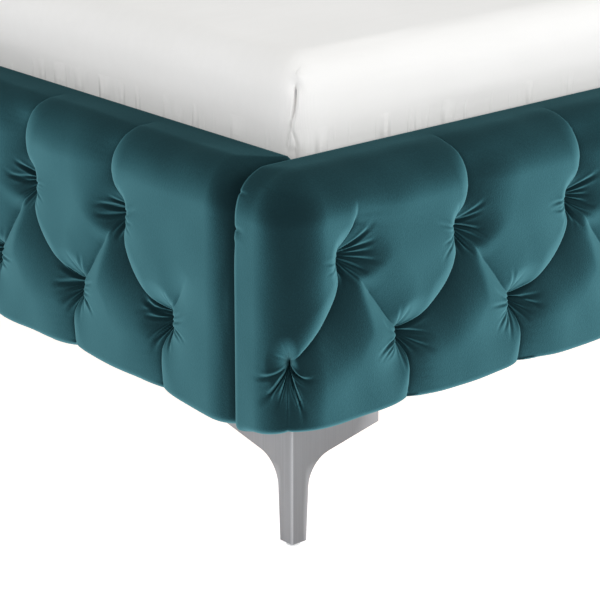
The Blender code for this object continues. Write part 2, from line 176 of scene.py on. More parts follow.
# Adds a shader node. Inputs that are sockets are joined, and the others are set.
def addNode(tree, kind, inputs=None, **settings):
    node = tree.nodes.new(kind)
    for key, value in settings.items():
        setattr(node, key, value)
    for key, value in (inputs or {}).items():
        if isinstance(value, bpy.types.NodeSocket):
            tree.links.new(value, node.inputs[key])
        else:
            node.inputs[key].default_value = value
    return node


def newGroup(name, inputs, outputs):
    group = bpy.data.node_groups.new(name, "ShaderNodeTree")
    for label, kind, value in inputs:
        socket = group.interface.new_socket(label, in_out="INPUT", socket_type="NodeSocket" + kind)
        if value is not None:
            socket.default_value = value
    for label in outputs:
        group.interface.new_socket(label, in_out="OUTPUT", socket_type="NodeSocketFloat")
    entry = group.nodes.new("NodeGroupInput")
    leave = group.nodes.new("NodeGroupOutput")
    return group, entry.outputs, leave.inputs


def calculate(tree, operation, first, second=0.5, third=0.5):
    node = addNode(tree, "ShaderNodeMath", {0: first, 1: second, 2: third}, operation=operation)
    return node.outputs[0]


# Adds an amount of a marking, measured from its middle tone, to another value
def addMarks(tree, marking, amount, value):
    return calculate(tree, "MULTIPLY_ADD", calculate(tree, "SUBTRACT", marking, 0.5), amount, value)


def blendColors(tree, factor, first, second, kind="MIX"):
    node = addNode(tree, "ShaderNodeMix", {0: factor, 6: first, 7: second}, data_type="RGBA", blend_type=kind)
    return node.outputs[2]


def mapRange(tree, value, fromMin=0.0, fromMax=1.0, toMin=0.0, toMax=1.0):
    node = addNode(tree, "ShaderNodeMapRange", {"Value": value, "From Min": fromMin, "From Max": fromMax,
                                                "To Min": toMin, "To Max": toMax})
    return node.outputs[0]


def noise(tree, vector, scale, detail):
    node = addNode(tree, "ShaderNodeTexNoise", {"Vector": vector, "Scale": scale, "Detail": detail})
    return node.outputs[0]


def stretched(tree, vector, scale):
    return addNode(tree, "ShaderNodeMapping", {"Vector": vector, "Scale": scale}).outputs[0]


def splitAxes(tree, vector):
    return addNode(tree, "ShaderNodeSeparateXYZ", {0: vector}).outputs


def rampValue(tree, value, stops):
    node = addNode(tree, "ShaderNodeValToRGB", {0: value})
    ramp = node.color_ramp
    ramp.interpolation = "B_SPLINE" if len(stops) > 3 else "LINEAR"
    while len(ramp.elements) < len(stops):
        ramp.elements.new(1.0)
    for element, (place, color) in zip(ramp.elements, stops):
        element.position = place
        element.color = (*color, 1.0)
    return node.outputs[0]


# Uneven tone over a surface: broad cloudy patches and fine speckle
def makeMottleGroup():
    group, given, out = newGroup("mottle", [("Vector", "Vector", None), ("Broad", "Float", 6.0),
                                            ("Fine", "Float", 400.0)], ["Patches", "Speckle"])
    group.links.new(noise(group, given[0], given[1], 3.0), out[0])
    group.links.new(noise(group, given[0], given[2], 2.0), out[1])
    return group


# A plain weave: two sets of threads that pass over and under each other, with thicker threads here and there
def makeWeaveGroup():
    group, given, out = newGroup("weave", [("Vector", "Vector", None), ("Threads", "Float", 900.0)],
                                 ["Height", "Slubs"])
    waves = []
    for part in splitAxes(group, given[0])[:3]:
        turns = calculate(group, "MULTIPLY", part, given[1])
        waves.append(calculate(group, "ABSOLUTE", calculate(group, "SINE", turns)))
    sums = calculate(group, "ADD", calculate(group, "MULTIPLY", waves[0], waves[1]), waves[2])
    group.links.new(sums, out[0])
    group.links.new(noise(group, stretched(group, given[0], (8.0, 90.0, 60.0)), 1.0, 2.0), out[1])
    return group


# Wood grain that runs along one axis, with rings and fine pores
def makeGrainGroup():
    group, given, out = newGroup("grain", [("Vector", "Vector", None), ("Stretch", "Vector", (1.0,) * 3)],
                                 ["Rings", "Pores"])
    node = addNode(group, "ShaderNodeVectorMath", {0: given[0], 1: given[1]}, operation="MULTIPLY")
    scaled = node.outputs[0]
    rings = calculate(group, "FRACT", calculate(group, "MULTIPLY", noise(group, scaled, 0.35, 2.0), 14.0))
    soft = calculate(group, "PINGPONG", rings, 0.5)
    group.links.new(calculate(group, "MULTIPLY", soft, 2.0), out[0])
    group.links.new(noise(group, scaled, 9.0, 3.0), out[1])
    return group


mottle, weave, grain = makeMottleGroup(), makeWeaveGroup(), makeGrainGroup()


def startMaterial(name, fixed):
    material = bpy.data.materials.new(name)
    material.use_nodes = True
    tree = material.node_tree
    shader = tree.nodes["Principled BSDF"]
    for socket, value in fixed.items():
        shader.inputs[socket].default_value = value
    place = addNode(tree, "ShaderNodeTexCoord").outputs
    return material, tree, shader, place


def useGroup(tree, group, vector, **inputs):
    return addNode(tree, "ShaderNodeGroup", {"Vector": vector, **inputs}, node_tree=group).outputs


def join(tree, value, shader, socket="Base Color"):
    tree.links.new(value, shader.inputs[socket])


def addBump(tree, shader, height, strength, distance, normal=None):
    inputs = {"Height": height, "Strength": strength, "Distance": distance}
    if normal is not None:
        inputs["Normal"] = normal
    node = addNode(tree, "ShaderNodeBump", inputs)
    join(tree, node.outputs[0], shader, "Normal")
    return node.outputs[0]


velvetStyle = {
    # Colours of the painted sheen, from where the pile is looked into to where it is seen from its side
    "pile": [(0.00, (0.0050, 0.0175, 0.0210)), (0.14, (0.0100, 0.0350, 0.0415)),
             (0.28, (0.0235, 0.0830, 0.0980)), (0.48, (0.0500, 0.1480, 0.1690)),
             (0.78, (0.0760, 0.2030, 0.2290)), (1.00, (0.0980, 0.2400, 0.2680))],
    "paintedSheenFaceUp": 0.18,  # share of the painted sheen left where the pile faces up, so the tops are painted darker
    "brushed": 0.07,
    "speckle": 0.10,
}


# Velvet with painted sheen in its colour: dark where it is looked into, light where the pile is seen from its
# side
def makeVelvet():
    fixed = {"Roughness": 0.92, "Sheen Weight": 0.08, "Sheen Roughness": 0.40,
             "Sheen Tint": (0.25, 0.80, 0.90, 1.0), "Specular IOR Level": 0.04}
    material, tree, shader, place = startMaterial("tealVelvet", fixed)
    marks = useGroup(tree, mottle, place["Object"], Broad=9.0, Fine=640.0)
    pile = addBump(tree, shader, marks["Speckle"], 0.25, 0.0006)
    # Painted sheen: how far the surface turns away from the camera sets its colour
    side = addNode(tree, "ShaderNodeLayerWeight", {"Blend": 0.5, "Normal": pile}).outputs["Facing"]
    # Painted shade on the tops: the painted sheen fades where the surface faces up
    lean = mapRange(tree, splitAxes(tree, place["Normal"])[2], 0.05, 0.95, 1.0, velvetStyle["paintedSheenFaceUp"])
    paintedSheenAndNap = calculate(tree, "MULTIPLY", side, lean)
    paintedSheenAndNap = addMarks(tree, marks["Patches"], velvetStyle["brushed"], paintedSheenAndNap)
    paintedSheenAndNap = addMarks(tree, marks["Speckle"], velvetStyle["speckle"], paintedSheenAndNap)
    join(tree, rampValue(tree, paintedSheenAndNap, velvetStyle["pile"]), shader)
    return material


cottonStyle = {
    "paintedGlow": 0.21,  # painted light: the cloth glows a little, so the shade on the sheet beside the rails stays pale
    "tuckLow": 0.428,  # the small folds are full below this height and gone above the next
    "tuckHigh": 0.450,
    "tucks": (52.0, 52.0, 5.0),
}


# White cotton over a white mattress, tucked in small folds beside the rails, with a painted glow that lifts
# its shade
def makeCotton():
    fixed = {"Roughness": 0.85, "Sheen Weight": 0.10, "Sheen Roughness": 0.5, "Specular IOR Level": 0.2,
             "Emission Color": (1.0, 0.99, 0.965, 1.0), "Emission Strength": cottonStyle["paintedGlow"]}
    material, tree, shader, place = startMaterial("whiteCotton", fixed)
    threads = useGroup(tree, weave, place["Object"], Threads=2600.0)
    marks = useGroup(tree, mottle, place["Object"], Broad=4.0, Fine=300.0)
    tone = addMarks(tree, threads["Slubs"], 0.25, marks["Patches"])
    join(tree, rampValue(tree, tone, [(0.3, (0.530, 0.527, 0.516)), (0.7, (0.568, 0.565, 0.556))]), shader)
    cloth = addBump(tree, shader, threads["Height"], 0.18, 0.0003)
    height = splitAxes(tree, place["Object"])[2]
    near = mapRange(tree, height, cottonStyle["tuckLow"], cottonStyle["tuckHigh"], 1.0, 0.0)
    folds = noise(tree, stretched(tree, place["Object"], cottonStyle["tucks"]), 1.0, 1.0)
    tucks = calculate(tree, "MULTIPLY", mapRange(tree, folds, 0.50, 0.72), near)
    addBump(tree, shader, tucks, 0.9, 0.006, cloth)
    return material


# Pale ticking with narrow grey stripes
def makeTicking():
    fixed = {"Roughness": 0.88, "Sheen Weight": 0.08, "Specular IOR Level": 0.2}
    stripeGap = 0.036
    material, tree, shader, place = startMaterial("mattressTicking", fixed)
    threads = useGroup(tree, weave, place["Object"], Threads=1500.0)
    across = splitAxes(tree, place["Object"])[0]
    wave = calculate(tree, "SINE", calculate(tree, "MULTIPLY", across, 2 * pi / stripeGap))
    stripe = calculate(tree, "GREATER_THAN", wave, 0.86)
    marks = useGroup(tree, mottle, place["Object"], Broad=5.0, Fine=260.0)
    ground = rampValue(tree, marks["Patches"], [(0.3, (0.66, 0.655, 0.63)), (0.7, (0.72, 0.715, 0.695))])
    join(tree, blendColors(tree, stripe, ground, (0.45, 0.48, 0.50, 1.0)), shader)
    addBump(tree, shader, threads["Height"], 0.3, 0.0004)
    return material


def makeLiningCloth():
    fixed = {"Roughness": 0.95, "Sheen Weight": 0.15, "Specular IOR Level": 0.1}
    material, tree, shader, place = startMaterial("blackLiningCloth", fixed)
    threads = useGroup(tree, weave, place["Object"], Threads=1300.0)
    marks = useGroup(tree, mottle, place["Object"], Broad=11.0, Fine=700.0)
    tone = addMarks(tree, marks["Speckle"], 0.8, marks["Patches"])
    join(tree, rampValue(tree, tone, [(0.25, (0.012, 0.012, 0.013)), (0.75, (0.034, 0.034, 0.036))]), shader)
    addBump(tree, shader, threads["Height"], 0.4, 0.0005)
    return material


# Steel brushed along the height of the leg, with painted shade on the faces that look along the bed,
# and a painted highlight along the eased edges where two of its faces meet
def makeBrushedSteel():
    material, tree, shader, place = startMaterial("brushedSteel", {"Metallic": 1.0, "Anisotropic": 0.4})
    brushing = noise(tree, stretched(tree, place["Object"], (1500.0, 1500.0, 9.0)), 1.0, 3.0)
    marks = useGroup(tree, mottle, place["Object"], Broad=14.0, Fine=500.0)
    tone = addMarks(tree, marks["Patches"], 0.5, brushing)
    ground = rampValue(tree, tone, [(0.3, (0.228, 0.228, 0.230)), (0.7, (0.280, 0.280, 0.284))])
    faces = splitAxes(tree, place["Normal"])
    # Painted shade: the faces that look along the bed are darkened
    along = calculate(tree, "MULTIPLY", calculate(tree, "ABSOLUTE", faces[1]), 0.40)
    ground = blendColors(tree, along, ground, (0.12, 0.12, 0.12, 1.0))
    # Painted highlight: the eased edges between two faces get a bright colour
    across = calculate(tree, "ABSOLUTE", calculate(tree, "MULTIPLY", faces[0], faces[1]))
    edge = mapRange(tree, across, 0.12, 0.42)
    join(tree, blendColors(tree, edge, ground, (0.80, 0.80, 0.81, 1.0)), shader)
    join(tree, mapRange(tree, brushing, toMin=0.34, toMax=0.50), shader, "Roughness")
    addBump(tree, shader, brushing, 0.10, 0.0002)
    return material


def makeCoating(name, low, high, roughness, metallic, fine):
    material, tree, shader, place = startMaterial(name, {"Metallic": metallic})
    marks = useGroup(tree, mottle, place["Object"], Broad=25.0, Fine=fine)
    join(tree, rampValue(tree, marks["Patches"], [(0.3, low), (0.7, high)]), shader)
    rough = mapRange(tree, marks["Patches"], toMin=roughness - 0.08, toMax=roughness + 0.08)
    join(tree, rough, shader, "Roughness")
    addBump(tree, shader, marks["Speckle"], 0.15, 0.0003)
    return material


def makeWood(name, stretch, light, dark, roughness):
    material, tree, shader, place = startMaterial(name, {"Specular IOR Level": 0.3})
    lines = useGroup(tree, grain, place["Object"], Stretch=stretch)
    marks = useGroup(tree, mottle, place["Object"], Broad=3.0, Fine=300.0)
    rings = calculate(tree, "MULTIPLY", lines["Rings"], 0.4)
    tone = calculate(tree, "MULTIPLY_ADD", lines["Pores"], 0.5, rings)
    ground = rampValue(tree, tone, [(0.15, dark), (0.75, light)])
    join(tree, blendColors(tree, marks["Patches"], ground, (0.80, 0.62, 0.42, 1.0), "SOFT_LIGHT"), shader)
    rough = mapRange(tree, lines["Pores"], toMin=roughness - 0.1, toMax=roughness + 0.1)
    join(tree, rough, shader, "Roughness")
    addBump(tree, shader, lines["Pores"], 0.25, 0.0005)
    return material


pine = {"light": (0.66, 0.45, 0.25), "dark": (0.44, 0.26, 0.12), "roughness": 0.6}
velvet = makeVelvet()
cotton = makeCotton()
ticking = makeTicking()
liningCloth = makeLiningCloth()
brushedSteel = makeBrushedSteel()
blackSteel = makeCoating("blackCoatedSteel", (0.014, 0.014, 0.015), (0.028, 0.028, 0.030), 0.5, 0.0, 900.0)
zinc = makeCoating("zincPlate", (0.50, 0.50, 0.48), (0.66, 0.65, 0.62), 0.36, 1.0, 500.0)
whitePlastic = makeCoating("whitePlastic", (0.62, 0.62, 0.61), (0.70, 0.70, 0.69), 0.42, 0.0, 700.0)
blackPlastic = makeCoating("blackPlastic", (0.016, 0.016, 0.017), (0.028, 0.028, 0.029), 0.45, 0.0, 700.0)
pineAcross = makeWood("pineAcross", (1.6, 26.0, 40.0), **pine)
pineAlong = makeWood("pineAlong", (26.0, 1.6, 40.0), **pine)
pineUpright = makeWood("pineUpright", (26.0, 40.0, 1.6), **pine)
plywood = makeWood("plywoodSheet", (3.0, 60.0, 22.0), (0.70, 0.53, 0.34), (0.55, 0.38, 0.22), 0.65)

finishOf = {
    "foot_rail_board": pineAcross, "side_rail_board": pineAlong, "headboard_base_rail": pineAcross,
    "headboard_top_rail": pineAcross, "headboard_post": pineUpright, "headboard_panel": plywood,
    "slat_ledger": pineAlong, "slat_": pineAcross, "centre_beam": pineAlong, "beam_hanger": zinc,
    "centre_leg": blackSteel, "levelling_foot": blackPlastic, "glide": whitePlastic,
    "corner_bracket": zinc, "bolt": zinc, "leg_": brushedSteel,
}


# Gives every hard node the finish with the longest matching name
def finishNodes():
    for name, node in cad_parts.items():
        found = [start for start in finishOf if name.startswith(start)]
        if found:
            best = max(found, key=len)
            for place in node.material_slots:
                place.material = finishOf[best]


finishNodes()
print("finishes ready")


tufting = {
    "rowGap": 0.1025,
    "wobble": 0.0011,
    "cornerDrop": 0.006,  # how much lower the button of a corner sits
    "sharpness": 3.6,  # how little neighbouring hollows melt together
    "pitDepth": 0.031,
    "pitReach": 0.046,
    "pitStretch": 0.022,  # further on the side that looks away from the middle
    "cornerReach": 0.038,
    "cornerShare": 0.72,
    "holeDepth": 0.007,
    "holeWidth": 0.0055,
    "rimWidth": 0.026,
    "hollowWidth": 0.072,
    "plainWidth": 0.050,
    "plainTuck": 0.016,  # narrower on the side that lies over the pleat
    "topFold": 0.017,
    "rimFold": 0.020,
    "plainFold": 0.012,
    "bottomFold": 0.013,
    "lean": 0.016,
    "bottomLean": 0.011,
    "overhang": 0.0095,
    "gather": 0.40,
    "gatherWidth": 0.020,
    "pitGather": 0.04,
    "topRun": 0.055,  # how far the pleats run over the top of a pad
    "fanReach": 0.044,  # the grid is finer this near to a button
}


# Where a panel's buttons sit and which pleats join them. u runs along the panel, v up from its bottom edge.
def layOut(length, style, topEdge):
    rng = np.random.default_rng(style["seed"])
    first, count, rows = style["firstPit"], style["count"], style["rows"]
    pitch = (length - 2 * first) / count
    middle = length / 2
    pits, folds = [], []
    for row in rows:
        v = style["firstRow"] + row * tufting["rowGap"]
        shift = 0.5 * (row % 2)
        for column in range(count + 1 - row % 2):
            u = first + (column + shift) * pitch
            away = 0.0 if abs(u - middle) < 0.01 else (1.0 if u < middle else -1.0)
            corner = min(u, length - u) < 0.03
            wobble = rng.normal(0, tufting["wobble"], 2)
            wobble[1] -= tufting["cornerDrop"] * corner
            pits.append({"u": u + wobble[0], "v": v + wobble[1], "row": row, "corner": corner,
                         "away": 0.0 if corner else away, "side": away or 1.0})
    for pit in pits:
        away, top = pit["away"], (pit["u"], pit["v"])
        fromEnd = min(pit["u"], length - pit["u"])
        if pit["row"] == rows[-1]:
            short = style["wraps"] and fromEnd < 0.6 * pitch
            folds.append({"kind": "top", "top": top, "end": topEdge, "away": away, "short": short})
        if pit["row"] == rows[0]:
            folds.append({"kind": "bottom", "top": top, "end": 0.0, "away": away, "corner": pit["corner"]})
            if style.get("looseCrease") and fromEnd < first + 0.02:
                start = (pit["u"] - pit["side"] * pitch / 2, pit["v"] + tufting["rowGap"])
                folds.append({"kind": "plain", "top": start, "foot": top, "away": pit["side"], "loose": True})
            continue
        for side in (-1.0, 1.0):
            u, v = pit["u"] + side * pitch / 2, pit["v"] - tufting["rowGap"]
            near = [other for other in pits
                    if other["row"] == pit["row"] - 1 and abs(other["u"] - u) < pitch / 4]
            foot = (near[0]["u"], near[0]["v"]) if near else (u, v)
            kind = "rim" if away and side == -away else "plain"
            folds.append({"kind": kind, "top": top, "foot": foot, "away": away, "fades": not near,
                          "toCorner": bool(near) and near[0]["corner"]})
    for fold in folds:
        fold["vary"] = rng.uniform(0.87, 1.13, 4)
        fold["path"] = foldPath(fold)
        fold["turn"] = -1.0 if fold["kind"] == "top" else 1.0
    return {"pits": pits, "folds": folds, "pitch": pitch, "rng": rng, "length": length}


# The line of a pleat, as points from its upper end down, or from its button up over the rim
def foldPath(fold):
    topU, topV = fold["top"]
    away, vary = fold["away"], fold["vary"]
    part = np.linspace(0, 1, 17)
    if fold["kind"] == "top":
        rise = smooth(-0.10, 0.34, part) - smooth(-0.10, 0.34, 0.0) - 0.6 * smooth(0.4, 1.0, part)
        u = topU + tufting["lean"] * vary[0] * away * rise
        v = topV + (fold["end"] - topV) * part
    elif fold["kind"] == "bottom":
        u = topU + tufting["bottomLean"] * vary[0] * away * np.sin(pi * np.clip(part * 1.2, 0, 0.9))
        v = topV - (topV + 0.012) * part
    else:
        endU, endV = fold["foot"]
        power = 2.6 * vary[0] if fold["kind"] == "rim" else (0.85 if away else 1.0)
        u = topU + (endU - topU) * part ** power
        v = topV + (endV - topV) * part
    return np.stack([u, v], axis=1)


# Distance to a pleat, on which side of it, how far down it the nearest place is, and the way from there.
# over is 1 on the side that lies over the pleat and 0 on the other, and turns smoothly past the pleat's ends.
def foldDistance(fold, u, v):
    away = fold["away"] or 1.0
    endU, endV = fold["path"][:, 0], fold["path"][:, 1]
    best = np.full(len(u), 1e9)
    part, wayU, wayV, over = (np.zeros(len(u)) for _ in range(4))
    count = len(endU) - 1
    for step in range(count):
        stepU, stepV = endU[step + 1] - endU[step], endV[step + 1] - endV[step]
        length = np.hypot(stepU, stepV)
        along = ((u - endU[step]) * stepU + (v - endV[step]) * stepV) / length ** 2
        held = np.clip(along, 0, 1)
        gapU, gapV = u - endU[step] - held * stepU, v - endV[step] - held * stepV
        distance = np.hypot(gapU, gapV)
        side = (gapV * stepU - gapU * stepV) / (length * np.maximum(distance, tiny))
        past = ((along < 0) & (step == 0)) | ((along > 1) & (step == count - 1))
        side = np.where(past, side, np.where(side < 0, -1.0, 1.0))
        closer = distance < best
        best = np.where(closer, distance, best)
        part = np.where(closer, (step + held) / count, part)
        wayU, wayV = np.where(closer, gapU, wayU), np.where(closer, gapV, wayV)
        over = np.where(closer, 0.5 - 0.5 * side * away * fold["turn"], over)
    return best, over, part, wayU, wayV


def foldReach(fold, u, v, margin):
    low, high = fold["path"].min(0) - margin, fold["path"].max(0) + margin
    return np.nonzero((u > low[0]) & (u < high[0]) & (v > low[1]) & (v < high[1]))[0]


def pitReach(pit, u, v, margin):
    return np.nonzero((np.abs(u - pit["u"]) < margin) & (np.abs(v - pit["v"]) < margin))[0]


# Draws the grid towards the pleats and the buttons, so that their sharp lines have enough points
def gather(panel, u, v):
    width, pitWidth, pull = tufting["gatherWidth"], tufting["pitGather"], tufting["gather"] - 1
    moveU, moveV, weight = np.zeros_like(u), np.zeros_like(u), np.full_like(u, 1e-6)

    def draw(index, near, wayU, wayV):
        share = near ** 2
        moveU[index] += share * pull * near * wayU
        moveV[index] += share * pull * near * wayV
        weight[index] += share

    for fold in panel["folds"]:
        index = foldReach(fold, u, v, width)
        size, _, _, wayU, wayV = foldDistance(fold, u[index], v[index])
        close = size < width
        draw(index[close], 1 - size[close] / width, wayU[close], wayV[close])
    for pit in panel["pits"]:
        index = pitReach(pit, u, v, pitWidth)
        wayU, wayV = u[index] - pit["u"], v[index] - pit["v"]
        draw(index, np.clip(1 - np.hypot(wayU, wayV) / pitWidth, 0, 1), wayU, wayV)
    return u + moveU / np.maximum(weight, 0.8), v + moveV / np.maximum(weight, 0.8)


# Depth of a pleat at a share of its length, counted from its upper end
def foldDepth(fold, part):
    away = fold["away"]
    if fold["kind"] == "top":
        depth = tufting["topFold"] * (1 - 0.80 * smooth(0.25, 0.80, part))
        if fold["short"]:
            depth = depth * (1 - smooth(0.08, 0.46, part))
    elif fold["kind"] == "bottom":
        share = 0.30 if fold["corner"] else 1.0
        depth = share * tufting["bottomFold"] * (1 - 0.72 * smooth(0.3, 0.9, part))
    elif fold["kind"] == "rim":
        loss = 0.75 if fold["toCorner"] else 0.2
        depth = tufting["rimFold"] * (1 - loss * smooth(0.45, 1.0, part))
    else:
        depth = tufting["plainFold"] * (smooth(0.0, 0.45, part) if away else np.ones_like(part))
    if fold.get("fades"):
        depth = depth * (1 - smooth(0.15, 0.75, part))
    if fold.get("loose"):
        depth = 0.55 * depth * smooth(0.35, 0.75, part)
    return depth * fold["vary"][1]


# How deep the cover lies below the crowns of its pillows, and how far its rims lean over
def tuftDepth(panel, u, v):
    power = tufting["sharpness"]
    total, leanU = np.zeros_like(u), np.zeros_like(u)
    for fold in panel["folds"]:
        index = foldReach(fold, u, v, tufting["hollowWidth"] + 0.006)
        if not len(index):
            continue
        size, over, part, wayU, wayV = foldDistance(fold, u[index], v[index])
        away, vary = fold["away"], fold["vary"]
        depth = foldDepth(fold, part)
        if fold["kind"] == "plain" or not away:
            reach = tufting["plainWidth"] - tufting["plainTuck"] * over
            shape = np.clip(1 - size / reach, 0, 1) ** 2 + 0.25 * np.exp(-size / 0.0025)
        else:
            x = np.clip(size / (tufting["rimWidth"] * vary[2]), 0, 1)
            rim = 1 - np.sqrt(np.clip(1 - (1 - x) ** 2, 0, 1))
            under = np.clip(1 - size / tufting["hollowWidth"], 0, 1) ** 2
            shape = over * rim + (1 - over) * (under + 0.22 * np.exp(-size / 0.0022))
            push = over * np.sin(pi * np.clip(x * 0.9, 0, 1)) * np.exp(-3 * x)
            leanU[index] += away * tufting["overhang"] * push * np.clip(depth / 0.018, 0, 1)
        total[index] += (depth * shape) ** power
    for pit in panel["pits"]:
        index = pitReach(pit, u, v, 0.08)
        x, y = (u[index] - pit["u"]) * pit["side"], v[index] - pit["v"]
        radius = np.hypot(x, y)
        facing = np.where(radius > 1e-6, x / np.maximum(radius, 1e-6), 0.0) * abs(pit["away"])
        reach = tufting["cornerReach" if pit["corner"] else "pitReach"] + tufting["pitStretch"] * facing
        bowl = tufting["pitDepth"] * (tufting["cornerShare"] if pit["corner"] else 1.0)
        total[index] += (bowl * np.clip(1 - radius / reach, 0, 1) ** 1.8) ** power
    depth = total ** (1 / power)
    for pit in panel["pits"]:
        index = pitReach(pit, u, v, 0.02)
        radius = np.hypot(u[index] - pit["u"], v[index] - pit["v"])
        depth[index] += tufting["holeDepth"] * bump(radius, tufting["holeWidth"])
    return depth, leanU


creaseStyle = {
    "reach": 0.06,
    "bend": 4.0,
    "length": (0.034, 0.060),
    "width": (0.0010, 0.0016),
    "spread": 0.058,
    "deep": (0.0022, 0.0038),
    # From this angle to that one, how many creases and how strong
    "open": [(-78, 36, 9, 1.0), (60, 112, 3, 0.5), (150, 215, 4, 0.6), (-125, -98, 3, 0.45)],
    "corner": [(-72, -20, 5, 1.35), (200, 252, 5, 1.35), (20, 160, 4, 0.35)],
}


# Fine creases that fan out from each button
def creases(panel, u, v):
    rng = panel["rng"]
    height = np.zeros_like(u)
    for pit in panel["pits"]:
        index = pitReach(pit, u, v, creaseStyle["reach"])
        x, y = (u[index] - pit["u"]) * pit["side"], v[index] - pit["v"]
        radius = np.hypot(x, y)
        angle = np.arctan2(y, x)
        for low, high, number, strength in creaseStyle["corner" if pit["corner"] else "open"]:
            for step in range(number):
                turn = radians(low + (high - low) * (step + rng.uniform(0.2, 0.8)) / number)
                bend = rng.normal(0, creaseStyle["bend"])
                length = rng.uniform(*creaseStyle["length"]) * (0.6 + 0.4 * strength)
                width = rng.uniform(*creaseStyle["width"])
                deep = rng.uniform(*creaseStyle["deep"]) * strength
                apart = (angle - turn - bend * radius + pi) % (2 * pi) - pi
                across = radius * np.sin(np.clip(apart, -pi / 2, pi / 2))
                side = across / (width + creaseStyle["spread"] * radius)
                along = smooth(0.003, 0.010, radius) * (1 - smooth(0.35 * length, length, radius))
                height[index] -= deep * along * (1 - 1.3 * side ** 2) * np.exp(-side ** 2)
    return height


railPad = {"rows": (0, 1), "firstRow": 0.0765, "sag": 0.0040, "drop": 0.0020, "refined": True, "fill": 0.9}
crossPad = {"along": 0, "out": 1, "faces": -1, "firstPit": -0.003, "count": 10, "wraps": True}
sidePad = {"along": 1, "out": 0, "firstPit": 0.120, "count": 11, "wraps": False, "fullCorner": 0.0110,
           "spacing": (0.0030, 0.0026, 0.0025), "looseCrease": True}

# A pucker of the end seam is given by its height as a share, its depth and its width
pads = [
    {**railPad, **crossPad, "node": "foot_rail_pad", "board": "foot_rail_board",
     "name": "footRailTuftedCover", "seed": 11, "fullCorner": 0.0070, "spacing": (0.0025, 0.0030, 0.0025),
     "puckers": [(0.775, 0.0030, 0.0016), (0.74, -0.0012, 0.004), (0.93, 0.0025, 0.0018)]},
    {**railPad, **sidePad, "node": "side_rail_pad_left", "board": "side_rail_board_left",
     "name": "leftRailTuftedCover", "faces": -1, "seed": 23},
    {**railPad, **sidePad, "node": "side_rail_pad_right", "board": "side_rail_board_right",
     "name": "rightRailTuftedCover", "faces": 1, "seed": 37},
    {**crossPad, "node": "headboard_pad", "board": "headboard_panel", "name": "headboardTuftedCover",
     "rows": tuple(range(2, 10)), "firstRow": 0.0565, "seed": 53, "sag": 0.0, "drop": 0.0, "refined": False,
     "spacing": (0.0036, 0.0040, 0.0036), "puckers": [(0.43, 0.0015, 0.004), (0.71, 0.0015, 0.004)],
     "fill": 0.9},
]


# The grid lines of a pad: its own box, and the slot that its board fills
def padCells(style):
    low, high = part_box(style["node"])
    clear = 0.0003
    lines = [[low.x, high.x], [low.y, high.y], [low.z, high.z]]
    boardLow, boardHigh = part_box(style["board"])
    if style["node"] == "headboard_pad":
        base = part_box("headboard_base_rail")[1]
        lines[0][1:1] = [boardLow.x - clear, boardHigh.x + clear]
        lines[1][1:1] = [boardLow.y - clear]
        lines[2][1:1] = [base.z + clear, boardHigh.z + clear]
        return lines, [(1, 0, 0), (1, 1, 0), (1, 1, 1)]
    lines[2][1:1] = [boardHigh.z + clear]
    if style["along"] == 0:
        lines[0][1:1] = [boardLow.x - clear, boardHigh.x + clear]
        lines[1][1:1] = [boardLow.y - clear]
        return lines, [(1, 1, 0)]
    if style["faces"] < 0:
        lines[0][1:1] = [boardLow.x - clear]
        return lines, [(1, 0, 0)]
    lines[0][1:1] = [boardHigh.x + clear]
    return lines, [(0, 0, 0)]


wrapEdges = {"end": 0.056, "rearEnd": 0.009, "rearCorner": 0.034, "front": 0.054, "rear": 0.006, "top": 0.052,
             "rearTop": 0.026, "bottom": 0.010, "turnsAt": (0.62, 0.92)}
sideEdges = {"end": 0.044, "rearEnd": 0.004, "front": 0.024, "frontTop": 0.020, "rear": 0.006, "top": 0.052,
             "rearTop": 0.024, "bottom": 0.010, "turnsAt": (0.35, 0.95)}


# Rounding of a pad's edges at a place a along it, d behind its face and h above its bottom
def padRadii(a, d, h, size, wraps):
    length, depth, height = size
    edge = wrapEdges if wraps else sideEdges
    rear = smooth(*edge["turnsAt"], d / depth)
    if wraps:
        rearEnd = edge["rearEnd"] + edge["rearCorner"] * smooth(height - 0.11, height - 0.03, h)
        inward = np.where(d < edge["front"], edge["front"], edge["rear"])
        rearTop = edge["rearTop"] * (2 - smooth(0.026, 0.046, np.minimum(a, length - a)))
    else:
        rearEnd = edge["rearEnd"]
        front = edge["front"] + edge["frontTop"] * smooth(height - 0.15, height - 0.02, h)
        inward = front * (1 - rear) + edge["rear"] * rear
        rearTop = edge["rearTop"]
    across = edge["end"] * (1 - rear) + rearEnd * rear
    upward = np.where(h > height / 2, edge["top"] * (1 - rear) + rearTop * rear, edge["bottom"])
    return np.stack([across, inward, upward], axis=1)


# How far the lower front edge of a rail pad hangs, more between the pleats and near the ends
def padSag(style, panel, u, base, fromEnd):
    turn = ((u - style["firstPit"]) / panel["pitch"]) % 1 - 0.5
    reach = (-0.080, 0.030) if style["wraps"] else (0.0, 0.24)
    full = 1 - smooth(*reach, np.minimum(u, panel["length"] - u))
    hang = style["sag"] + 0.0032 * (1 - (2 * turn) ** 2) + style["fullCorner"] * full
    inset = np.minimum(base[:, 1], fromEnd) if style["wraps"] else base[:, 1]
    return hang * (1 - smooth(0.0, 0.050, base[:, 2])) * (1 - smooth(0.016, 0.040, inset))


